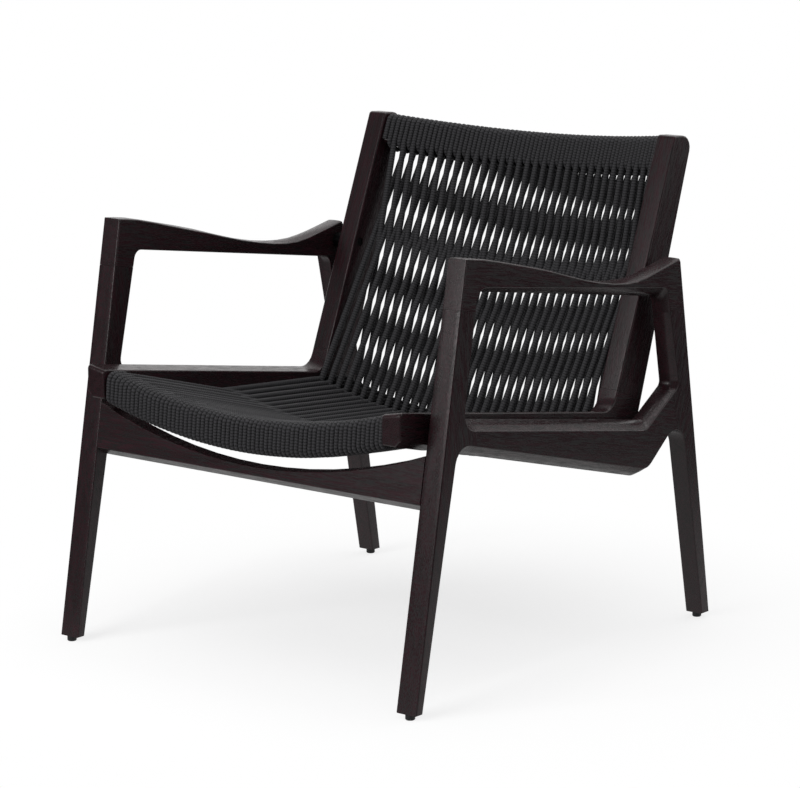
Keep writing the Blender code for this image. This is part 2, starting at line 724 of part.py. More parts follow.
def front_stretcher(leg):
    """The crescent board between the front legs, flush with their fronts."""
    rear_face = shifted(LEG_FRONT, -STRETCHER_DEPTH)
    top_end = SEAT_HEIGHT - STRETCHER_TOP_DROP
    low_rear = top_end - STRETCHER_END_HEIGHT - 0.003
    low_front = low_rear + STRETCHER_BEVEL
    reach = HALF_WIDTH - SIDE_THICKNESS
    sections = []
    for step in range(SPAN_STEPS + 1):
        share = 2 * step / SPAN_STEPS - 1
        high = top_end - STRETCHER_SAG * bow(share, 1)
        corners = (
            (at_height(LEG_FRONT, high), 0.002),
            (at_height(rear_face, high), 0.002),
            (at_height(rear_face, low_rear), 0.002),
            (at_height(LEG_FRONT, low_front), 0.002),
        )
        loop = []
        for y, z in rounded(corners, 2):
            end = inner_face_x(y, z) - SEAM if abs(share) == 1 else reach
            loop.append((share * end, y, z))
        sections.append([loop])
    piece = loft("front_stretcher", sections, PARTS, WOOD)
    half_way = (top_end + low_front) / 2
    middle = (at_height(LEG_FRONT, half_way) + at_height(rear_face, half_way)) / 2
    tilt = math.atan2(-LEG_FRONT[1].x, LEG_FRONT[1].y)
    for side in (1, -1):
        place = (side * (reach - 0.010 + TENON_LENGTH / 2), *middle)
        size = (TENON_LENGTH + 0.020, 0.010, 0.036)
        change(piece, "UNION", block("stretcher_tenon", place, size, tilt))
    size = (TENON_LENGTH + 0.020 + 2 * SEAM, 0.010 + 2 * SEAM, 0.036 + 2 * SEAM)
    place = (reach - 0.010 + TENON_LENGTH / 2, *middle)
    change(leg, "DIFFERENCE", block("stretcher_mortise", place, size, tilt))
    return piece


# ---- Cord ------------------------------------------------------------------------------------
def crossing_line(first, second, radius, side):
    """The line that passes one corner on its left (side 1) or right and the other opposite."""
    across = second - first
    turn = Matrix.Rotation(-side * math.asin(2 * radius / across.length), 2)
    direction = (turn @ across).normalized()
    normal = Vector((-direction.y, direction.x))
    return first + normal * (side * radius), direction


def arc(centre, radius, first, last, steps=3):
    """Points round a corner, turning clockwise from one direction to another."""
    turn = first.angle_signed(last)
    ray = first.normalized() * radius
    return [centre + Matrix.Rotation(-turn * step / steps, 2) @ ray for step in range(steps + 1)]


def corner_point(centre, radius, first, last):
    """Where the lines that touch a rounding in two directions meet."""
    first, last = first.normalized(), last.normalized()
    return centre + (first + last) * (radius / (1 + first.dot(last)))


def seat_cord_section(front, rear, x):
    """The windings on the front and rear rails and the two layers of cord that cross between."""
    wound = CORE_RADIUS + CORE_CLEARANCE + CORD
    middle = wound - CORD / 2
    top = crossing_line(front.corner(x, 1, 1), rear.corner(x, -1, -1), middle, 1)
    low = crossing_line(front.corner(x, -1, 1), rear.corner(x, 1, -1), middle, -1)
    lines = [shifted(line, side * CORD / 2) for line in (top, low) for side in (1, -1)]
    top_high, top_low, low_high, low_low = lines
    above_top = Vector((-top[1].y, top[1].x))
    above_low = Vector((-low[1].y, low[1].x))
    outer = [
        *arc(front.corner(x, -1, -1), wound, -front.up, -front.rear),
        *arc(front.corner(x, 1, -1), wound, -front.rear, front.up),
        corner_point(front.corner(x, 1, 1), wound, front.up, above_top),
        meet(top_high, low_high),
        corner_point(rear.corner(x, 1, -1), wound, above_low, rear.up),
        *arc(rear.corner(x, 1, 1), wound, rear.up, rear.rear),
        *arc(rear.corner(x, -1, 1), wound, rear.rear, -rear.up),
        corner_point(rear.corner(x, -1, -1), wound, -rear.up, -above_top),
        meet(top_low, low_low),
        corner_point(front.corner(x, -1, 1), wound, -above_low, -front.up),
    ]
    front_face = front.corner(x, 1, 1) + front.rear * wound, front.up
    rear_face = rear.corner(x, 1, -1) - rear.rear * wound, rear.up
    front_gap = [meet(front_face, top_low), meet(top_low, low_high), meet(low_high, front_face)]
    rear_gap = [meet(rear_face, low_low), meet(low_low, top_high), meet(top_high, rear_face)]
    cores = [rail.outline(x, CORE_CLEARANCE) for rail in (front, rear)]
    return [[(x, y, z) for y, z in loop] for loop in (outer, front_gap, rear_gap, *cores)]


def back_cord_section(top, rear, x):
    """The windings on the top rail and the two layers that cross on their way to the rear rail."""
    wound = CORE_RADIUS + CORE_CLEARANCE + CORD
    middle = wound - CORD / 2
    front = crossing_line(top.corner(x, -1, -1), rear.corner(x, 1, 1), middle, -1)
    back = crossing_line(top.corner(x, -1, 1), rear.corner(x, 1, -1), middle, 1)
    lines = [shifted(line, side * CORD / 2) for line in (front, back) for side in (1, -1)]
    front_behind, front_ahead, back_behind, back_ahead = lines
    behind_front = Vector((-front[1].y, front[1].x))
    behind_back = Vector((-back[1].y, back[1].x))
    foot = rear.corner(x, 1, 1).y + wound + WEB_CLEARANCE
    outer = [
        *arc(top.corner(x, 1, -1), wound, -top.rear, top.up),
        *arc(top.corner(x, 1, 1), wound, top.up, top.rear),
        corner_point(top.corner(x, -1, 1), wound, top.rear, behind_back),
        meet(back_behind, front_behind),
        at_height(front_behind, foot),
        at_height(front_ahead, foot),
        meet(front_ahead, back_behind),
        at_height(back_behind, foot),
        at_height(back_ahead, foot),
        meet(back_ahead, front_ahead),
        corner_point(top.corner(x, -1, -1), wound, -behind_front, -top.rear),
    ]
    low_face = top.corner(x, -1, 1) - top.up * wound, top.rear
    gap = [meet(low_face, front_behind), meet(front_behind, back_ahead), meet(back_ahead, low_face)]
    core = top.outline(x, CORE_CLEARANCE)
    return [[(x, y, z) for y, z in loop] for loop in (outer, gap, core)]


# ---- Fittings --------------------------------------------------------------------------------
def foot_fittings(leg, name, y):
    """A plastic glide under a foot, and the nail that holds it."""
    x = HALF_WIDTH - 0.0165
    top = GLIDE_HEIGHT - SEAM
    bore = NAIL_RADIUS + SEAM
    recess = 2 * NAIL_RADIUS + 2 * SEAM
    glide = turned(
        f"glide_{name}_right",
        (
            (GLIDE_RADIUS, top),
            (GLIDE_RADIUS, 0.0012),
            (GLIDE_RADIUS - 0.0012, 0),
            (recess, 0),
            (recess, 0.0025),
            (bore, 0.0025),
            (bore, top),
        ),
        (x, y, 0),
        PARTS,
        PLASTIC,
    )
    nail = turned(
        f"glide_nail_{name}_right",
        (
            (0, top + NAIL_LENGTH),
            (NAIL_RADIUS, top + NAIL_LENGTH - 0.003),
            (NAIL_RADIUS, 0.0022),
            (2 * NAIL_RADIUS, 0.0022),
            (2 * NAIL_RADIUS, 0.0010),
            (0, 0.0010),
        ),
        (x, y, 0),
        PARTS,
        STEEL,
    )
    tip = top + NAIL_LENGTH + SEAM
    hole = turned(f"nail_hole_{name}", ((0, tip), (bore, tip), (bore, 0), (0, 0)), (x, y, 0), CUTTERS)
    change(leg, "DIFFERENCE", hole)
    return glide, nail


def bolted(name, y, z, member, side_piece):
    """A bolt from the member's inner face through a spacer into the side frame."""
    face = inner_face_x(y, z)
    recess = BOLT_HEAD_HEIGHT + 0.001
    bolt = turned(
        f"{name}_bolt_right",
        (
            (0, face + BOLT_BITE),
            (BOLT_RADIUS, face + BOLT_BITE),
            (BOLT_RADIUS, MEMBER_INNER + recess),
            (BOLT_HEAD_RADIUS, MEMBER_INNER + recess),
            (BOLT_HEAD_RADIUS, MEMBER_INNER + 0.001),
            (0, MEMBER_INNER + 0.001),
        ),
        (0, y, z),
        PARTS,
        STEEL,
        axis="X",
    )
    near = MEMBER_OUTER + SEAM
    far = face - SEAM
    bore = BOLT_RADIUS + SEAM
    spacer = turned(
        f"{name}_spacer_right",
        ((SPACER_RADIUS, far), (SPACER_RADIUS, near), (bore, near), (bore, far)),
        (0, y, z),
        PARTS,
        BLACK_STEEL,
        axis="X",
    )
    wide = BOLT_HEAD_RADIUS + SEAM
    seat = MEMBER_INNER + recess + SEAM
    end = face + BOLT_BITE + SEAM
    start = MEMBER_INNER - 0.01
    bore_profile = ((0, end), (bore, end), (bore, seat), (wide, seat), (wide, start), (0, start))
    for piece in (member, side_piece):
        hole = turned(f"{name}_hole", bore_profile, (0, y, z), CUTTERS, axis="X")
        change(piece, "DIFFERENCE", hole)
    return bolt, spacer


def main():
    members = side_frame_members()
    seat_rail, post = seat_members()
    front, rear, top = wound_rails()
    rail_piece(front, seat_rail)
    rail_piece(rear, seat_rail)
    rail_piece(top, post)
    front_stretcher(members["front_leg"])
    fittings = [
        *foot_fittings(members["front_leg"], "front", FRONT_FOOT_Y + FOOT_DEPTH / 2),
        *foot_fittings(members["rear_leg"], "rear", REAR + REAR_FOOT_BACK - REAR_FOOT_DEPTH / 2 + 0.0005),
        *bolted("seat_front", 0.060, SEAT_HEIGHT - 0.0385, seat_rail, members["lower_side_rail"]),
        *bolted("seat_rear", REAR - 0.0745, SEAT_CORNER - 0.0203, seat_rail, members["lower_side_rail"]),
        *bolted("back", REAR + 0.0910, SEAT_CORNER + 0.1920, post, members["armrest"]),
    ]
    for piece in [*members.values(), seat_rail, post, *fittings]:
        left_copy(settle(piece), piece.name.replace("_right", "_left"))
    loft("seat_cord", [seat_cord_section(front, rear, x) for x in span()], PARTS, CORD_FINISH)
    loft("back_cord", [back_cord_section(top, rear, x) for x in span()], PARTS, CORD_FINISH)
    centre_on_floor()


clear_scene()
PARTS = collection("wooden_armchair")
CUTTERS = collection("cutters")
WOOD = material("stained oak", (0.020, 0.014, 0.015), 0.45)
CORD_FINISH = material("braided cord", (0.012, 0.012, 0.013), 0.9)
PLASTIC = material("black plastic", (0.010, 0.010, 0.010), 0.6)
STEEL = material("zinc plated steel", (0.50, 0.50, 0.50), 0.35, 1.0)
BLACK_STEEL = material("blackened steel", (0.020, 0.020, 0.020), 0.5, 1.0)
main()
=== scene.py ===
"""The finished look of a low wooden armchair with a seat and back of wound black cord.

Metres, +Z up. X runs across the chair, its front faces -Y, and the floor is z = 0.
"""

import math

import bmesh
import bpy
from bpy.props import FloatProperty, FloatVectorProperty, IntProperty, PointerProperty
from bpy.types import Operator, Panel, PropertyGroup
from mathutils import Euler, Matrix, Vector


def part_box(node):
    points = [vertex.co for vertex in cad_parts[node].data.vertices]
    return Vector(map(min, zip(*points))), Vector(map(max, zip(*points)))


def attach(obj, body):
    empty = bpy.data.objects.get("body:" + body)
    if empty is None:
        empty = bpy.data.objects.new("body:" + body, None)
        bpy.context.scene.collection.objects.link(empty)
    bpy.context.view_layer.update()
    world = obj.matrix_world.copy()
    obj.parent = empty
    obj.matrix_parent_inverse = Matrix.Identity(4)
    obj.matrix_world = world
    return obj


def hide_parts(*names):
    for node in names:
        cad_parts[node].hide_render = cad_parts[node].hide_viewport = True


bl_info = {
    "name": "Wound Cord Armchair",
    "version": (1, 0, 0),
    "blender": (4, 5, 0),
    "location": "View3D > Sidebar > Armchair",
    "description": "Finishes a wooden armchair and winds its seat and back in braided cord",
    "category": "Object",
}

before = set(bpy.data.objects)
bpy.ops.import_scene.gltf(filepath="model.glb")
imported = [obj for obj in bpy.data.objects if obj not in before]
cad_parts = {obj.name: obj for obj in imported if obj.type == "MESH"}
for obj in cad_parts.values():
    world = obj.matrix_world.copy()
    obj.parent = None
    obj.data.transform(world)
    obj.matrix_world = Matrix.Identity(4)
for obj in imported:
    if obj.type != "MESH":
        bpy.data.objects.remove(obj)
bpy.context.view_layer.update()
MM = 0.001

# ---- The chair's own sizes, in metres ------------------------------------------------------------
FRONT_FOOT = 0.0948  # front edge of a front leg ahead of the side drawing's origin
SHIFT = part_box("front_leg_right")[0].y + FRONT_FOOT  # moves the side drawing into the frame
HALF_SPAN = 0.2637  # half the clear width between the seat rails
CORE_RADIUS = 0.0055  # rounding of the wound rails' corners
BACK_UP = Vector((0.36496, 0.93102))
BACK_REAR = Vector((0.93102, -0.36496))
CORNER_STEPS = 5  # divisions of a cord's quarter turn round a rail
RAIL_GAP = 0.3 * MM  # between the cord and the rail under it
END_GAP = 0.2 * MM  # between the outermost windings and the seat rails
STITCH = 4.2 * MM  # length of one stitch of the plait along the cord
TAPERS = (5 * MM, 30 * MM)  # a free length is half and fully swollen this far from its ends
LEAST_FREE = 0.1  # a span longer than this is a free length

SIDE_PIECES = {  # length direction of each side piece, in degrees above the horizontal
    "armrest": -10.0,
    "lower_side_rail": -11.0,
    "front_leg": 98.0,
    "rear_leg": 69.0,
}
MEMBERS = {"seat_side_rail": -8.7, "back_post": 68.6}
CROSS_RAILS = ("front_seat_rail", "rear_seat_rail", "top_back_rail", "front_stretcher")


def linear(hex_colour):
    """The linear RGBA of an sRGB hex colour."""
    channels = [int(hex_colour[i : i + 2], 16) / 255 for i in (1, 3, 5)]
    return [c / 12.92 if c <= 0.04045 else ((c + 0.055) / 1.055) ** 2.4 for c in channels] + [1.0]


# ---- What a user may change ----------------------------------------------------------------------
class CordSettings(PropertyGroup):
    diameter: FloatProperty(
        name="Diameter",
        description="Thickness of the braided cord",
        default=8.0 * MM,
        min=5.0 * MM,
        max=9.0 * MM,
        unit="LENGTH",
    )
    slack: FloatProperty(
        name="Slack thickness",
        description="How much thicker the soft cord is in its free lengths than on the rails",
        default=1.18,
        min=1.0,
        max=1.4,
    )
    rounds: IntProperty(
        name="Rounds",
        description="Times the cord passes round both rails across the width",
        default=32,
        min=16,
        max=50,
    )
    sides: IntProperty(
        name="Sides",
        description="Flat sides of the cord's round section",
        default=8,
        min=6,
        max=12,
    )
    colour: FloatVectorProperty(
        name="Colour",
        description="Colour of the cord's outer yarns",
        default=linear("#3F3E41"),
        size=4,
        subtype="COLOR",
    )
    # The groove colour is painted shade: it darkens the cord where the yarns dip between the
    # stitches.
    groove_shade_colour: FloatVectorProperty(
        name="Groove colour",
        description="Colour between the cord's yarns",
        default=linear("#1A1A1B"),
        size=4,
        subtype="COLOR",
    )


class WoodSettings(PropertyGroup):
    colour: FloatVectorProperty(
        name="Colour",
        description="Stained oak between its pores",
        default=linear("#3D2027"),
        size=4,
        subtype="COLOR",
    )
    dark_colour: FloatVectorProperty(
        name="Dark colour",
        description="Darker late wood of the stained oak",
        default=linear("#2A161A"),
        size=4,
        subtype="COLOR",
    )
    pore_colour: FloatVectorProperty(
        name="Pore colour",
        description="Inside of the oak's open pores",
        default=linear("#100A0B"),
        size=4,
        subtype="COLOR",
    )
    soft_angle: FloatProperty(
        name="Soft angle",
        description="Faces that meet at less than this are shaded as one surface",
        default=math.radians(50),
        subtype="ANGLE",
    )


class StudioSettings(PropertyGroup):
    azimuth: FloatProperty(
        name="Azimuth",
        description="Turn of the camera round the chair from straight ahead",
        default=math.radians(39.25),
        subtype="ANGLE",
    )
    elevation: FloatProperty(
        name="Elevation",
        description="Angle of the camera's view above the horizontal",
        default=math.radians(11.02),
        subtype="ANGLE",
    )
    roll: FloatProperty(
        name="Roll",
        description="Turn of the camera about its own axis",
        default=math.radians(-0.18),
        subtype="ANGLE",
    )
    lens: FloatProperty(
        name="Lens",
        description="Focal length in millimetres on a 36 mm wide sensor",
        default=142.88,
        min=10,
    )
    place: FloatVectorProperty(
        name="Camera place",
        description="Camera position in the side drawing's frame",
        default=(2.96404, -3.33643, 1.26953),
        subtype="TRANSLATION",
    )
    floor_colour: FloatVectorProperty(
        name="Floor colour",
        description="Pale studio floor",
        default=linear("#FFFFFF"),
        size=4,
        subtype="COLOR",
    )


class ArmchairSettings(PropertyGroup):
    cord: PointerProperty(type=CordSettings)
    wood: PointerProperty(type=WoodSettings)
    studio: PointerProperty(type=StudioSettings)


# ---- Materials -----------------------------------------------------------------------------------
def add_node(tree, kind, inputs=(), **settings):
    """Adds a node with its settings; inputs pairs each socket with a value or a linked output."""
    node = tree.nodes.new(kind)
    for name, value in settings.items():
        setattr(node, name, value)
    for socket, value in dict(inputs).items():
        if isinstance(value, bpy.types.NodeSocket):
            tree.links.new(value, node.inputs[socket])
        else:
            node.inputs[socket].default_value = value
    return node


def new_material(name):
    """A material and its empty node tree."""
    material = bpy.data.materials.new(name)
    material.use_nodes = True
    material.node_tree.nodes.clear()
    return material, material.node_tree


def finish_material(tree, shader):
    """Joins a shader to the material's output."""
    add_node(tree, "ShaderNodeOutputMaterial", {"Surface": shader.outputs[0]})


def stained_oak(name, turn):
    """Stained oak, planed and oiled.

    The open pores show as short dark dashes along the grain, and the oil gives a satin sheen
    that turns pale where a face is seen at a low angle. turn brings the grain onto Y.
    """
    wood = bpy.context.scene.armchair.wood
    material, tree = new_material(name)
    place = add_node(tree, "ShaderNodeTexCoord")
    turned = add_node(
        tree,
        "ShaderNodeMapping",
        {"Vector": place.outputs["Object"], "Rotation": turn},
    )
    figure_scale = add_node(
        tree,
        "ShaderNodeMapping",
        {"Vector": turned.outputs[0], "Scale": (1 / 9 / MM, 1 / 190 / MM, 1 / 9 / MM)},
    )
    figure = add_node(
        tree,
        "ShaderNodeTexNoise",
        {"Vector": figure_scale.outputs[0], "Scale": 1.0, "Detail": 3.0, "Distortion": 0.6},
    )
    pore_scale = add_node(
        tree,
        "ShaderNodeMapping",
        {"Vector": turned.outputs[0], "Scale": (1 / 1.3 / MM, 1 / 26 / MM, 1 / 1.3 / MM)},
    )
    pores = add_node(
        tree,
        "ShaderNodeTexNoise",
        {"Vector": pore_scale.outputs[0], "Scale": 1.0, "Detail": 2.0, "Roughness": 0.6},
    )
    open_pores = add_node(
        tree,
        "ShaderNodeMapRange",
        {"Value": pores.outputs[0], "From Min": 0.40, "From Max": 0.56},
        interpolation_type="SMOOTHSTEP",
    )
    figure_share = add_node(
        tree,
        "ShaderNodeMapRange",
        {"Value": figure.outputs[0], "From Min": 0.32, "From Max": 0.68},
    )
    body = add_node(
        tree,
        "ShaderNodeMix",
        {0: figure_share.outputs[0], 6: tuple(wood.dark_colour), 7: tuple(wood.colour)},
        data_type="RGBA",
    )
    colour = add_node(
        tree,
        "ShaderNodeMix",
        {0: open_pores.outputs[0], 6: tuple(wood.pore_colour), 7: body.outputs[2]},
        data_type="RGBA",
    )
    roughness = add_node(
        tree,
        "ShaderNodeMapRange",
        {"Value": open_pores.outputs[0], "To Min": 0.42, "To Max": 0.24},
    )
    relief = add_node(
        tree,
        "ShaderNodeBump",
        {"Height": open_pores.outputs[0], "Strength": 0.16, "Distance": 0.12 * MM},
    )
    shader = add_node(
        tree,
        "ShaderNodeBsdfPrincipled",
        {
            "Base Color": colour.outputs[2],
            "Roughness": roughness.outputs[0],
            "Normal": relief.outputs[0],
            "IOR": 1.5,
        },
    )
    finish_material(tree, shader)
    return material


def braided_cord(name):
    """Polyester cord in a round plait.

    Two families of yarns cross at the surface, so each cord shows rows of fine stitches about
    4 mm apart; the grooves between them are darkened with painted shade, and the matt yarns
    hardly shine.
    """
    cord = bpy.context.scene.armchair.cord
    material, tree = new_material(name)
    place = add_node(tree, "ShaderNodeUVMap", uv_map="cord")
    parts = add_node(tree, "ShaderNodeSeparateXYZ", {"Vector": place.outputs[0]})
    along = add_node(
        tree,
        "ShaderNodeMath",
        {0: parts.outputs[0], 1: math.tau / STITCH},
        operation="MULTIPLY",
    )
    stitch_rows = add_node(tree, "ShaderNodeMath", {0: along.outputs[0]}, operation="COSINE")
    heights = []
    for sense in (1, -1):
        round_it = add_node(
            tree,
            "ShaderNodeMath",
            {0: parts.outputs[1], 1: sense * 4 * math.tau, 2: along.outputs[0]},
            operation="MULTIPLY_ADD",
        )
        wave = add_node(tree, "ShaderNodeMath", {0: round_it.outputs[0]}, operation="SINE")
        heights.append(wave.outputs[0])
    ribs = add_node(tree, "ShaderNodeMath", {0: heights[0], 1: heights[1]}, operation="MAXIMUM")
    crossed = add_node(
        tree,
        "ShaderNodeMath",
        {0: ribs.outputs[0], 1: 0.4, 2: stitch_rows.outputs[0]},
        operation="MULTIPLY_ADD",
    )
    yarns = add_node(
        tree,
        "ShaderNodeMapRange",
        {"Value": crossed.outputs[0], "From Min": -1.0, "From Max": 0.7},
        interpolation_type="SMOOTHSTEP",
    )
    fibre_place = add_node(tree, "ShaderNodeTexCoord")
    fibres = add_node(
        tree,
        "ShaderNodeTexNoise",
        {"Vector": fibre_place.outputs["Object"], "Scale": 1 / 1.1 / MM, "Detail": 2.0},
    )
    height = add_node(
        tree,
        "ShaderNodeMath",
        {0: fibres.outputs[0], 1: 0.45, 2: yarns.outputs[0]},
        operation="MULTIPLY_ADD",
    )
    shade = add_node(
        tree,
        "ShaderNodeMapRange",
        {"Value": height.outputs[0], "From Min": 0.25, "From Max": 1.15},
    )
    # Painted shade mixed with a random fibre tone: the low parts of the yarn relief take the darker
    # groove colour.
    colour = add_node(
        tree,
        "ShaderNodeMix",
        {0: shade.outputs[0], 6: tuple(cord.groove_shade_colour), 7: tuple(cord.colour)},
        data_type="RGBA",
    )
    relief = add_node(
        tree,
        "ShaderNodeBump",
        {"Height": height.outputs[0], "Strength": 0.7, "Distance": 0.4 * MM},
    )
    shader = add_node(
        tree,
        "ShaderNodeBsdfPrincipled",
        {
            "Base Color": colour.outputs[2],
            "Roughness": 0.72,
            "Normal": relief.outputs[0],
            "IOR": 1.45,
            "Sheen Weight": 0.06,
            "Sheen Roughness": 0.5,
        },
    )
    finish_material(tree, shader)
    return material


def moulded_plastic(name):
    """Black polyethylene, moulded: a dull skin with a slight scuffed grain."""
    material, tree = new_material(name)
    place = add_node(tree, "ShaderNodeTexCoord")
    grain = add_node(
        tree,
        "ShaderNodeTexNoise",
        {"Vector": place.outputs["Object"], "Scale": 1 / 1.2 / MM, "Detail": 3.0},
    )
    roughness = add_node(
        tree,
        "ShaderNodeMapRange",
        {"Value": grain.outputs[0], "To Min": 0.45, "To Max": 0.65},
    )
    relief = add_node(
        tree,
        "ShaderNodeBump",
        {"Height": grain.outputs[0], "Strength": 0.2, "Distance": 0.05 * MM},
    )
    shader = add_node(
        tree,
        "ShaderNodeBsdfPrincipled",
        {
            "Base Color": linear("#161617"),
            "Roughness": roughness.outputs[0],
            "Normal": relief.outputs[0],
            "IOR": 1.5,
        },
    )
    finish_material(tree, shader)
    return material


def turned_steel(name, light_colour, dark_colour, low_rough, high_rough):
    """Steel turned on a lathe and plated or blackened: rings round the axis X catch the light."""
    material, tree = new_material(name)
    place = add_node(tree, "ShaderNodeTexCoord")
    stretched = add_node(
        tree,
        "ShaderNodeMapping",
        {"Vector": place.outputs["Object"], "Scale": (1 / 0.4 / MM, 1 / 6 / MM, 1 / 6 / MM)},
    )
    rings = add_node(
        tree,
        "ShaderNodeTexNoise",
        {"Vector": stretched.outputs[0], "Scale": 1.0, "Detail": 2.0},
    )
    colour = add_node(
        tree,
        "ShaderNodeMix",
        {0: rings.outputs[0], 6: linear(dark_colour), 7: linear(light_colour)},
        data_type="RGBA",
    )
    roughness = add_node(
        tree,
        "ShaderNodeMapRange",
        {"Value": rings.outputs[0], "To Min": low_rough, "To Max": high_rough},
    )
    shader = add_node(
        tree,
        "ShaderNodeBsdfPrincipled",
        {"Base Color": colour.outputs[2], "Metallic": 1.0, "Roughness": roughness.outputs[0]},
    )
    finish_material(tree, shader)
    return material


# ---- Wooden pieces -------------------------------------------------------------------------------
def shaded_copy(name, material):
    """A copy of a wooden node with its corners joined, so that its rounded edges shade softly."""
    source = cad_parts[name]
    shape = bmesh.new()
    shape.from_mesh(source.data)
    bmesh.ops.remove_doubles(shape, verts=shape.verts, dist=0.002 * MM)
    bmesh.ops.dissolve_limit(
        shape,
        angle_limit=math.radians(0.05),
        use_dissolve_boundaries=False,
        verts=shape.verts,
        edges=shape.edges,
    )
    sharp = bpy.context.scene.armchair.wood.soft_angle
    for edge in shape.edges:
        edge.smooth = edge.is_manifold and edge.calc_face_angle(0) < sharp
    for face in shape.faces:
        face.smooth = True
    mesh = bpy.data.meshes.new(f"{name}_finished")
    shape.to_mesh(mesh)
    shape.free()
    mesh.materials.append(material)
    piece = bpy.data.objects.new(f"{name}_finished", mesh)
    bpy.context.scene.collection.objects.link(piece)
    even = piece.modifiers.new("even shading", "WEIGHTED_NORMAL")
    even.keep_sharp = True
    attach(piece, "root")
    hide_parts(name)
    return piece


def grain_along(degrees):
    """Turns a pattern so that a length in the side plane at this slope lies along Y."""
    return Euler((-math.radians(degrees), 0, 0))


def recoat(names, material):
    """Gives CAD nodes a finish and leaves their shape."""
    for name in names:
        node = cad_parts[name]
        node.data.materials.clear()
        node.data.materials.append(material)


# ---- Wound cord ----------------------------------------------------------------------------------
class Rail:
    """A bowed rail of rounded rectangular section; y and z are in the side drawing."""

    def __init__(self, centre, up, height, depth, sag, swell=0.0):
        self.centre = Vector(centre)
        self.up = Vector(up).normalized()
        self.rear = Vector((self.up.y, -self.up.x))
        self.height = height
        self.depth = depth
        self.sag = Vector(sag)
        self.swell = swell

    def corner(self, x, up, rear):
        """Centre of the rounding of one corner; up and rear are 1 or -1."""
        bow = 1 - (x / HALF_SPAN) ** 2
        middle = self.centre + (self.sag + self.up * (self.swell / 2)) * bow
        tall = (self.height + self.swell * bow) / 2 - CORE_RADIUS
        deep = self.depth / 2 - CORE_RADIUS
        return middle + self.up * (up * tall) + self.rear * (rear * deep)


FRONT_RAIL = Rail((-0.0475, 0.3890), (0.10, 1), 0.0323, 0.0284, (0, -0.040), 0.003)
REAR_RAIL = Rail((0.4375, 0.31355), (0, 1), 0.0324, 0.0584, (0, -0.043))
TOP_RAIL = Rail((0.59607, 0.70734), BACK_UP, 0.0404, 0.0314, BACK_REAR * 0.043)


def crossing(first, second, radius, side):
    """Normal of the cord that passes one corner on its left (side 1) and the other opposite."""
    across = second - first
    turn = Matrix.Rotation(-side * math.asin(2 * radius / across.length), 2)
    direction = (turn @ across).normalized()
    return Vector((-direction.y, direction.x))


def bend(rail, x, corner, first, last, radius):
    """Points of the cord round one corner of a rail, from one direction to another."""
    centre = rail.corner(x, *corner)
    angle = first.angle_signed(last)
    steps = max(1, round(abs(angle) / (math.pi / 2) * CORNER_STEPS))
    points = []
    for step in range(steps + 1):
        point = centre + Matrix.Rotation(-angle * step / steps, 2) @ first.normalized() * radius
        points.append((x, point.x + SHIFT, point.y))
    return points


def seat_round(place, start, radius):
    """One round of the seat: twice over the front rail, back below, once round the rear rail.

    place gives the x of a count of rounds. The cord steps sideways under the front rail and
    on top of the rear rail, and drifts the other way as it crosses the seat.
    """
    front, rear = FRONT_RAIL, REAR_RAIL
    first, second = place(start), place(start + 0.5)
    under_first, under_second = place(start + 0.4), place(start + 0.9)
    arrive, after = place(start + 0.5), place(start + 1.4)
    up, back = front.up, front.rear
    high = crossing(front.corner(first, 1, 1), rear.corner(first, -1, -1), radius, 1)
    low = crossing(front.corner(first, -1, 1), rear.corner(first, 1, -1), radius, -1)
    twice_over = [
        bend(front, first, (1, 1), high, up, radius),
        bend(front, first, (1, -1), up, -back, radius),
        bend(front, first, (-1, -1), -back, -up, radius),
        bend(front, under_first, (-1, 1), -up, back, radius),
        bend(front, second, (1, 1), back, up, radius),
        bend(front, second, (1, -1), up, -back, radius),
        bend(front, second, (-1, -1), -back, -up, radius),
        bend(front, under_second, (-1, 1), -up, -low, radius),
    ]
    behind = [
        bend(rear, arrive, (1, -1), low, rear.up, radius),
        bend(rear, after, (1, 1), rear.up, rear.rear, radius),
        bend(rear, after, (-1, 1), rear.rear, -rear.up, radius),
        bend(rear, after, (-1, -1), -rear.up, -high, radius),
    ]
    return twice_over, behind


def back_round(place, start, radius):
    """One round of the back: twice over the top rail, down behind, once round the rear rail.

    The cord steps sideways down the hidden face of the top rail and down the front of the
    rear rail, and drifts the other way on its way up and down.
    """
    top, rear = TOP_RAIL, REAR_RAIL
    first, second = place(start), place(start + 0.5)
    spread = 0.25 * first / HALF_SPAN
    behind_first, behind_second = place(start + 0.4 + spread), place(start + 0.9 + spread)
    arrive, after = place(start + 0.45 + spread), place(start + 1.45)
    up, back = top.up, top.rear
    front = crossing(top.corner(first, -1, -1), rear.corner(first, 1, 1), radius, -1)
    hind = crossing(top.corner(first, -1, 1), rear.corner(first, 1, -1), radius, 1)
    twice_over = [
        bend(top, first, (-1, -1), -front, -back, radius),
        bend(top, first, (1, -1), -back, up, radius),
        bend(top, first, (1, 1), up, back, radius),
        bend(top, behind_first, (-1, 1), back, -up, radius),
        bend(top, second, (-1, -1), -up, -back, radius),
        bend(top, second, (1, -1), -back, up, radius),
        bend(top, second, (1, 1), up, back, radius),
        bend(top, behind_second, (-1, 1), back, hind, radius),
    ]
    behind = [
        bend(rear, arrive, (1, -1), -hind, -rear.rear, radius),
        bend(rear, after, (-1, -1), -rear.rear, -rear.up, radius),
        bend(rear, after, (-1, 1), -rear.up, rear.rear, radius),
        bend(rear, after, (1, 1), rear.rear, front, radius),
    ]
    return twice_over, behind


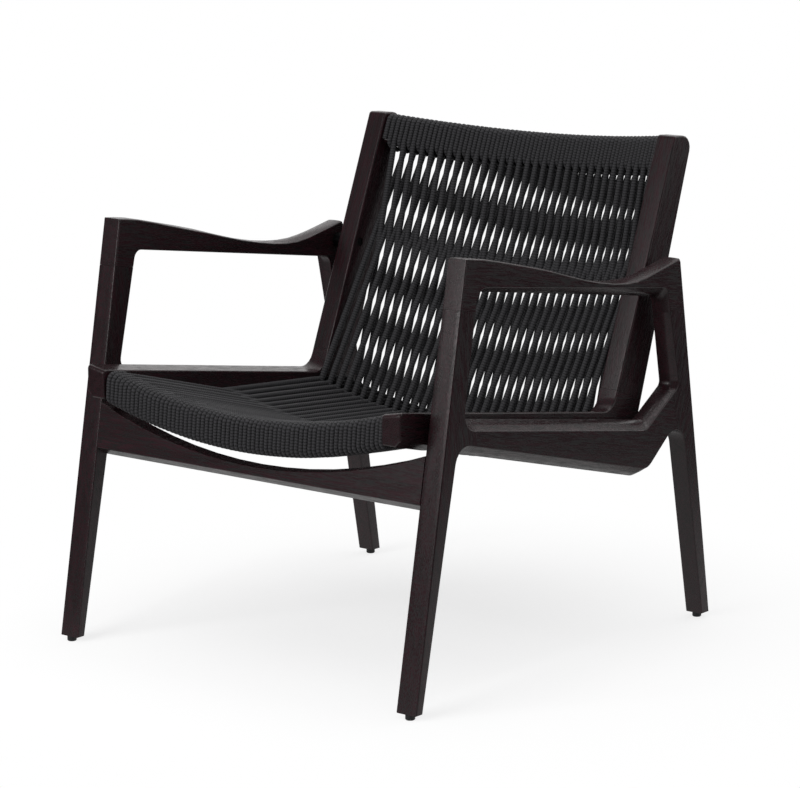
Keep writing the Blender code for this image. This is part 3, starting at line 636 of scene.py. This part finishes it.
def wound_path(one_round, offset, skipped, last_turns):
    """Points and relative thicknesses along a cord, wound round after round across the chair.

    offset moves the count of rounds, skipped leaves out the first bends, and the last round
    has only last_turns bends. Soft cord swells where nothing presses on it.
    """
    cord = bpy.context.scene.armchair.cord
    radius = CORE_RADIUS + RAIL_GAP + cord.diameter / 2
    low = -HALF_SPAN + cord.diameter / 2 + END_GAP
    pitch = -2 * low / cord.rounds

    def place(count):
        return low + pitch * min(max(count, 0), cord.rounds)

    bends = []
    for count in range(cord.rounds):
        over, behind = one_round(place, count + offset, radius)
        bends += over + behind
    over, behind = one_round(place, cord.rounds + offset, radius)
    bends = bends[skipped:] + over[:last_turns]
    points = [Vector(point) for turn in bends for point in turn]
    path = [(points[0], 1.0)]
    for point in points[1:]:
        start = path[-1][0]
        step = point - start
        if step.length > LEAST_FREE:
            along = step.normalized()
            half_swollen = 1 + (cord.slack - 1) * 0.5
            path += [
                (start + along * TAPERS[0], half_swollen),
                (start + along * TAPERS[1], cord.slack),
                (point - along * TAPERS[1], cord.slack),
                (point - along * TAPERS[0], half_swollen),
            ]
        if step.length > 0.05 * MM:
            path.append((point, 1.0))
    return path


def cord_piece(name, path, material, node):
    """A round cord along a path, with a pattern laid out along and round it in metres and turns."""
    cord = bpy.context.scene.armchair.cord
    line = bpy.data.curves.new(name, "CURVE")
    line.dimensions = "3D"
    line.twist_mode = "MINIMUM"
    line.bevel_depth = cord.diameter / 2
    line.bevel_resolution = cord.sides // 2 - 2
    line.use_fill_caps = True
    spline = line.splines.new("POLY")
    spline.points.add(len(path) - 1)
    for point, (place, growth) in zip(spline.points, path):
        point.co = (*place, 1)
        point.radius = growth
    guide = bpy.data.objects.new(f"{name}_line", line)
    bpy.context.scene.collection.objects.link(guide)
    graph = bpy.context.evaluated_depsgraph_get()
    mesh = bpy.data.meshes.new_from_object(guide.evaluated_get(graph))
    bpy.data.objects.remove(guide)
    bpy.data.curves.remove(line)
    mesh.name = name
    lengths = [0.0]
    for (first, _), (second, _) in zip(path, path[1:]):
        lengths.append(lengths[-1] + (second - first).length)
    sides = cord.sides
    rings = len(path)
    if len(mesh.vertices) != sides * (rings + 2):
        raise RuntimeError(f"{name}: {len(mesh.vertices)} points on {rings} rings and 2 ends")
    # The mesh lists the far end's cap, the near end's cap, then the rings in order.
    ring_of = [rings - 1] * sides + [0] * sides
    ring_of += [index // sides for index in range(sides * rings)]
    while mesh.uv_layers:
        mesh.uv_layers.remove(mesh.uv_layers[0])
    layer = mesh.uv_layers.new(name="cord")
    for face in mesh.polygons:
        turns = [mesh.loops[loop].vertex_index % sides for loop in face.loop_indices]
        closing = 0 in turns and sides - 1 in turns
        for loop, turn in zip(face.loop_indices, turns):
            ring = ring_of[mesh.loops[loop].vertex_index]
            share = sides if closing and turn == 0 else turn
            layer.data[loop].uv = (lengths[ring], share / sides)
    shape = bmesh.new()
    shape.from_mesh(mesh)
    bmesh.ops.remove_doubles(shape, verts=shape.verts, dist=0.001 * MM)
    shape.to_mesh(mesh)
    shape.free()
    mesh.shade_smooth()
    mesh.materials.clear()
    mesh.materials.append(material)
    piece = bpy.data.objects.new(name, mesh)
    bpy.context.scene.collection.objects.link(piece)
    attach(piece, "root")
    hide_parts(node)
    print(f"{name}: {lengths[-1]:.2f} m of cord")
    return piece


# ---- Studio --------------------------------------------------------------------------------------
def studio_floor(colour):
    """Painted studio floor: matt white, fading into the background, with a soft shadow.

    Shiny faces see a painted pool of light on it: an emission, white near the chair and dark grey
    further out.
    """
    material, tree = new_material("painted_white_floor")
    rays = add_node(tree, "ShaderNodeLightPath")
    place = add_node(tree, "ShaderNodeTexCoord")
    mottle = add_node(
        tree,
        "ShaderNodeTexNoise",
        {"Vector": place.outputs["Object"], "Scale": 1 / 400 / MM, "Detail": 1.0},
    )
    roughness = add_node(
        tree,
        "ShaderNodeMapRange",
        {"Value": mottle.outputs[0], "To Min": 0.85, "To Max": 0.95},
    )
    paint = add_node(
        tree,
        "ShaderNodeBsdfDiffuse",
        {"Color": tuple(colour), "Roughness": roughness.outputs[0]},
    )
    dull = add_node(tree, "ShaderNodeBsdfDiffuse", {"Color": linear("#9A9798")})
    glow = add_node(tree, "ShaderNodeEmission", {"Color": tuple(colour), "Strength": 1.7})
    seen = add_node(
        tree, "ShaderNodeMixShader", {0: 0.33, 1: paint.outputs[0], 2: glow.outputs[0]}
    )
    far = add_node(
        tree,
        "ShaderNodeVectorMath",
        {0: place.outputs["Object"]},
        operation="LENGTH",
    )
    # Painted pool of light: in reflections the floor glows white near the chair and fades to dark
    # grey between 0.5 and 2 m out.
    unlit = add_node(
        tree,
        "ShaderNodeMapRange",
        {"Value": far.outputs["Value"], "From Min": 0.5, "From Max": 2.0},
        interpolation_type="SMOOTHSTEP",
    )
    painted_light_pool = add_node(
        tree,
        "ShaderNodeMix",
        {0: unlit.outputs[0], 6: tuple(colour), 7: (0.10, 0.10, 0.105, 1)},
        data_type="RGBA",
    )
    mirrored = add_node(
        tree, "ShaderNodeEmission", {"Color": painted_light_pool.outputs[2], "Strength": 0.55}
    )
    shiny = add_node(
        tree,
        "ShaderNodeMixShader",
        {0: rays.outputs["Is Glossy Ray"], 1: dull.outputs[0], 2: mirrored.outputs[0]},
    )
    fade = add_node(
        tree,
        "ShaderNodeMapRange",
        {"Value": far.outputs["Value"], "From Min": 0.1, "From Max": 0.85},
        interpolation_type="SMOOTHSTEP",
    )
    white = add_node(tree, "ShaderNodeEmission", {"Color": (1, 1, 1, 1), "Strength": 1.0})
    faded = add_node(
        tree,
        "ShaderNodeMixShader",
        {0: fade.outputs[0], 1: seen.outputs[0], 2: white.outputs[0]},
    )
    clear = add_node(
        tree,
        "ShaderNodeMath",
        {0: rays.outputs["Is Camera Ray"], 1: rays.outputs["Is Transmission Ray"]},
        operation="MAXIMUM",
    )
    shader = add_node(
        tree,
        "ShaderNodeMixShader",
        {0: clear.outputs[0], 1: shiny.outputs[0], 2: faded.outputs[0]},
    )
    finish_material(tree, shader)
    return material


def studio_world():
    """White background for the eye and for shiny faces, and a dimmer room as light."""
    world = bpy.data.worlds.new("studio")
    world.use_nodes = True
    tree = world.node_tree
    tree.nodes.clear()
    rays = add_node(tree, "ShaderNodeLightPath")
    place = add_node(tree, "ShaderNodeTexCoord")
    parts = add_node(tree, "ShaderNodeSeparateXYZ", {"Vector": place.outputs["Generated"]})
    behind = add_node(
        tree,
        "ShaderNodeMapRange",
        {"Value": parts.outputs[1], "From Min": -0.2, "From Max": 0.35},
        interpolation_type="SMOOTHSTEP",
    )
    room_colour = add_node(
        tree,
        "ShaderNodeMix",
        {0: behind.outputs[0], 6: (0.12, 0.12, 0.125, 1), 7: (1.0, 1.0, 1.0, 1)},
        data_type="RGBA",
    )
    mirrored = add_node(
        tree, "ShaderNodeBackground", {"Color": room_colour.outputs[2], "Strength": 1.0}
    )
    dim = add_node(
        tree, "ShaderNodeBackground", {"Color": (0.34, 0.34, 0.345, 1), "Strength": 1.0}
    )
    room = add_node(
        tree,
        "ShaderNodeMixShader",
        {0: rays.outputs["Is Glossy Ray"], 1: dim.outputs[0], 2: mirrored.outputs[0]},
    )
    white = add_node(tree, "ShaderNodeBackground", {"Color": (1, 1, 1, 1), "Strength": 1.0})
    both = add_node(
        tree,
        "ShaderNodeMixShader",
        {0: rays.outputs["Is Camera Ray"], 1: room.outputs[0], 2: white.outputs[0]},
    )
    add_node(tree, "ShaderNodeOutputWorld", {"Surface": both.outputs[0]})
    bpy.context.scene.world = world


def soft_box(name, place, target, size, power):
    """A large rectangular lamp that faces a target."""
    data = bpy.data.lights.new(name, "AREA")
    data.shape = "RECTANGLE"
    data.size, data.size_y = size
    data.energy = power
    lamp = bpy.data.objects.new(name, data)
    bpy.context.scene.collection.objects.link(lamp)
    lamp.location = place
    lamp.rotation_mode = "QUATERNION"
    lamp.rotation_quaternion = (Vector(target) - Vector(place)).to_track_quat("-Z", "Y")


def studio_camera(studio):
    """The camera that takes the front view from the right."""
    data = bpy.data.cameras.new("front_right_camera")
    data.sensor_fit = "HORIZONTAL"
    data.sensor_width = 36
    data.lens = studio.lens
    data.clip_start, data.clip_end = 0.1, 100
    camera = bpy.data.objects.new("front_right_camera", data)
    bpy.context.scene.collection.objects.link(camera)
    turn, rise, roll = studio.azimuth, studio.elevation, studio.roll
    flat = math.cos(rise)
    back = Vector((math.sin(turn) * flat, -math.cos(turn) * flat, math.sin(rise)))
    level = Vector((math.cos(turn), math.sin(turn), 0))
    upright = back.cross(level)
    right = level * math.cos(roll) + upright * math.sin(roll)
    up = upright * math.cos(roll) - level * math.sin(roll)
    axes = Matrix((right, up, back)).transposed().to_4x4()
    place = Vector(studio.place) + Vector((0, SHIFT, 0))
    camera.matrix_world = Matrix.Translation(place) @ axes
    bpy.context.scene.camera = camera


# ---- Operators -----------------------------------------------------------------------------------
class ARMCHAIR_OT_side_frames(Operator):
    """Finish the armrests, legs and lower side rails of both side frames"""

    bl_idname = "armchair.side_frames"
    bl_label = "Side Frames"

    def execute(self, context):
        for piece, slope in SIDE_PIECES.items():
            oak = stained_oak(f"stained_oak_{piece}", grain_along(slope))
            for side in ("right", "left"):
                shaded_copy(f"{piece}_{side}", oak)
        return {"FINISHED"}


class ARMCHAIR_OT_members(Operator):
    """Finish the seat side rails and the back posts"""

    bl_idname = "armchair.members"
    bl_label = "Seat Rails and Back Posts"

    def execute(self, context):
        for piece, slope in MEMBERS.items():
            oak = stained_oak(f"stained_oak_{piece}", grain_along(slope))
            for side in ("right", "left"):
                shaded_copy(f"{piece}_{side}", oak)
        return {"FINISHED"}


class ARMCHAIR_OT_cross_rails(Operator):
    """Finish the wound rails and the front stretcher, whose grain runs across the chair"""

    bl_idname = "armchair.cross_rails"
    bl_label = "Cross Rails"

    def execute(self, context):
        oak = stained_oak("stained_oak_cross_rails", Euler((0, 0, math.pi / 2)))
        for piece in CROSS_RAILS:
            shaded_copy(piece, oak)
        return {"FINISHED"}


class ARMCHAIR_OT_seat_cord(Operator):
    """Wind the seat's cord round the front and rear rails"""

    bl_idname = "armchair.seat_cord"
    bl_label = "Seat Cord"

    def execute(self, context):
        material = braided_cord("braided_cord_seat")
        path = wound_path(seat_round, offset=-0.45, skipped=4, last_turns=8)
        cord_piece("seat_winding", path, material, "seat_cord")
        return {"FINISHED"}


class ARMCHAIR_OT_back_cord(Operator):
    """Wind the back's cord round the top and rear rails"""

    bl_idname = "armchair.back_cord"
    bl_label = "Back Cord"

    def execute(self, context):
        material = braided_cord("braided_cord_back")
        path = wound_path(back_round, offset=0, skipped=0, last_turns=4)
        cord_piece("back_winding", path, material, "back_cord")
        return {"FINISHED"}


class ARMCHAIR_OT_glides(Operator):
    """Finish the floor glides and their nails"""

    bl_idname = "armchair.glides"
    bl_label = "Floor Glides"

    def execute(self, context):
        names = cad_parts
        zinc = turned_steel("zinc_plated_nail", "#C9CACC", "#8E9092", 0.3, 0.45)
        recoat([n for n in names if n.startswith("glide_nail")], zinc)
        plain = [n for n in names if n.startswith("glide_") and "nail" not in n]
        recoat(plain, moulded_plastic("moulded_black_polyethylene"))
        return {"FINISHED"}


class ARMCHAIR_OT_fasteners(Operator):
    """Finish the bolts and spacers between the side frames and the seat and back members"""

    bl_idname = "armchair.fasteners"
    bl_label = "Bolts and Spacers"

    def execute(self, context):
        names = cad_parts
        bolt = turned_steel("blackened_steel_bolt", "#242425", "#121212", 0.4, 0.55)
        recoat([n for n in names if "_bolt_" in n], bolt)
        spacer = turned_steel("blackened_steel_spacer", "#2A2A2B", "#151515", 0.4, 0.55)
        recoat([n for n in names if "_spacer_" in n], spacer)
        return {"FINISHED"}


class ARMCHAIR_OT_stage(Operator):
    """Lay the pale floor, hang the soft lamps and place the camera"""

    bl_idname = "armchair.stage"
    bl_label = "Studio"

    def execute(self, context):
        studio = context.scene.armchair.studio
        shape = bmesh.new()
        bmesh.ops.create_grid(shape, x_segments=1, y_segments=1, size=12.0)
        mesh = bpy.data.meshes.new("studio_floor")
        shape.to_mesh(mesh)
        shape.free()
        mesh.materials.append(studio_floor(studio.floor_colour))
        floor = bpy.data.objects.new("studio_floor", mesh)
        context.scene.collection.objects.link(floor)
        studio_world()
        soft_box("overhead_soft_box", (0.15, 0.75, 2.8), (0, -0.1, 0.3), (1.6, 1.6), 15)
        soft_box("front_soft_box", (-0.6, -3.0, 1.5), (0, 0, 0.4), (2.0, 1.6), 36)
        studio_camera(studio)
        context.scene.view_settings.view_transform = "Standard"
        return {"FINISHED"}


class ARMCHAIR_PT_panel(Panel):
    """The armchair's sizes, colours and building steps"""

    bl_idname = "ARMCHAIR_PT_panel"
    bl_label = "Wound Cord Armchair"
    bl_space_type = "VIEW_3D"
    bl_region_type = "UI"
    bl_category = "Armchair"

    def draw(self, context):
        layout = self.layout
        settings = context.scene.armchair
        groups = {"Wood": settings.wood, "Cord": settings.cord, "Studio": settings.studio}
        for title, group in groups.items():
            box = layout.box()
            box.label(text=title)
            for name in group.bl_rna.properties.keys():
                if name not in {"rna_type", "name"}:
                    box.prop(group, name)
        for operator in OPERATORS:
            layout.operator(operator.bl_idname)


OPERATORS = (
    ARMCHAIR_OT_side_frames,
    ARMCHAIR_OT_members,
    ARMCHAIR_OT_cross_rails,
    ARMCHAIR_OT_seat_cord,
    ARMCHAIR_OT_back_cord,
    ARMCHAIR_OT_glides,
    ARMCHAIR_OT_fasteners,
    ARMCHAIR_OT_stage,
)
SETTINGS = (CordSettings, WoodSettings, StudioSettings, ArmchairSettings)
CLASSES = (*SETTINGS, *OPERATORS, ARMCHAIR_PT_panel)


def register():
    for cls in CLASSES:
        bpy.utils.register_class(cls)
    bpy.types.Scene.armchair = PointerProperty(type=ArmchairSettings)


def unregister():
    del bpy.types.Scene.armchair
    for cls in reversed(CLASSES):
        bpy.utils.unregister_class(cls)


def main():
    register()
    bpy.ops.armchair.side_frames()
    bpy.ops.armchair.members()
    bpy.ops.armchair.cross_rails()
    bpy.ops.armchair.seat_cord()
    bpy.ops.armchair.back_cord()
    bpy.ops.armchair.glides()
    bpy.ops.armchair.fasteners()
    bpy.ops.armchair.stage()


if __name__ == "__main__":
    main()
